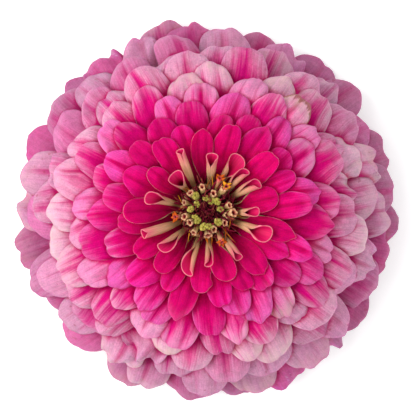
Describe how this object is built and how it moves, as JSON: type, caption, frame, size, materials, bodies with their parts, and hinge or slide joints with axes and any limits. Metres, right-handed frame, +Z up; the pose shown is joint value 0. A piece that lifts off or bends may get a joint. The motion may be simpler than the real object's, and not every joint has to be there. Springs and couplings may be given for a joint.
{
  "type": "zinnia flower",
  "caption": "Double zinnia bloom snipped under its head and lying face up, with shingled ray petals, a bract cup and a raised disc.",
  "frame": {"origin": "under the middle of the bloom, on the surface it lies on", "axes": "+Z up along the bloom's own axis, out of the face of the flower; X and Y across it, with +Y at the top of the picture"},
  "size_m": [0.1127, 0.1116, 0.0519],
  "materials": {
    "stalk": "fleshy green stem, faintly ribbed and hairy, cut across at the end",
    "bract": "leathery green scales with a thin dark brown edge",
    "outer_petal": "soft satin petal, mauve pink with fine veins along it",
    "middle_petal": "soft satin petal, magenta at its base and streaked pale pink at its tip",
    "inner_petal": "velvety magenta petal with a thin pale edge",
    "young_petal": "rolled petal, cream green outside and crimson inside",
    "disc_floret": "waxy cream and yellow-green tubes with dark red mouths",
    "chaff": "dry dark maroon scales with fringed tips"
  },
  "bodies": {
    "root": {"stalk": "stalk", "bracts": "bract", "outer_petals": "outer_petal", "middle_petals": "middle_petal", "inner_petals": "inner_petal", "young_petals": "young_petal", "disc_florets": "disc_floret", "chaff": "chaff"}
  },
  "joints": []
}
